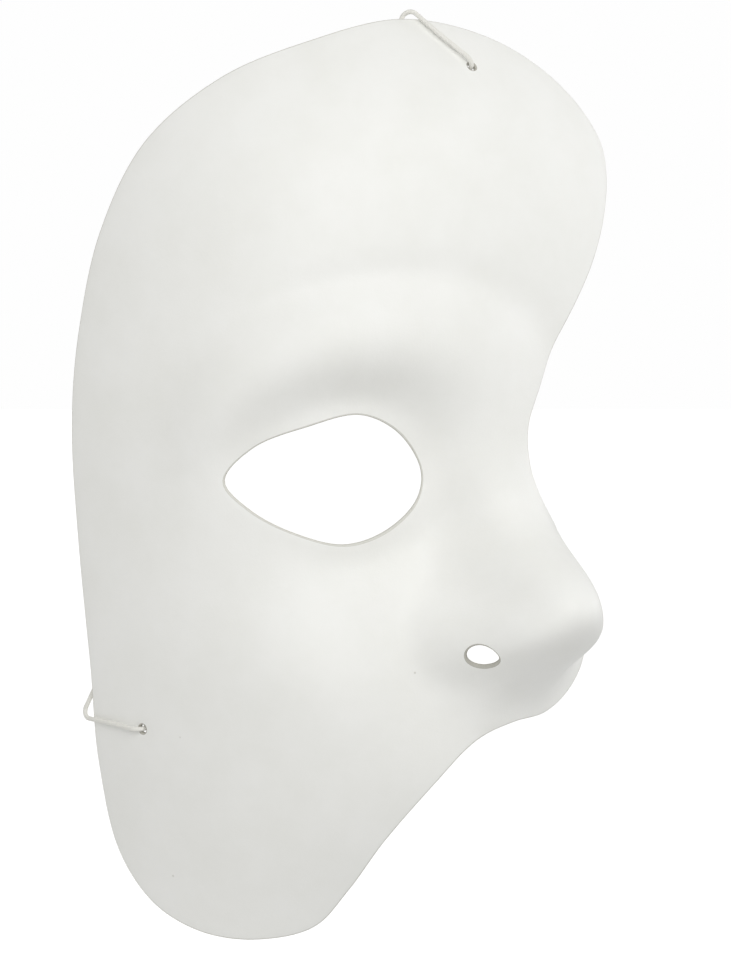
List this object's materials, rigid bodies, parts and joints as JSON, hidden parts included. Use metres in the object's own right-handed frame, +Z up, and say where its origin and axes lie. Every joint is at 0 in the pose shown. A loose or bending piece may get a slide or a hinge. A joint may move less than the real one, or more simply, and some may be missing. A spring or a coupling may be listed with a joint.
{
  "type": "half-face masquerade mask",
  "caption": "Thin rigid half-face mask over forehead, cheek and nose, with an eye opening, nostril holes and an elastic.",
  "frame": {"origin": "on the bridge of the wearer's nose, between the eyes, just behind the shell", "axes": "+X to the wearer's left, -Y the way the face looks, +Z up the face"},
  "size_m": [0.1029, 0.0944, 0.2027],
  "materials": {
    "white_shell": "matt, moulded",
    "white_elastic": "braided"
  },
  "bodies": {
    "root": {"mask_shell": "white_shell", "elastic_cord": "white_elastic", "top_knot": "white_elastic", "side_knot": "white_elastic"}
  },
  "joints": []
}
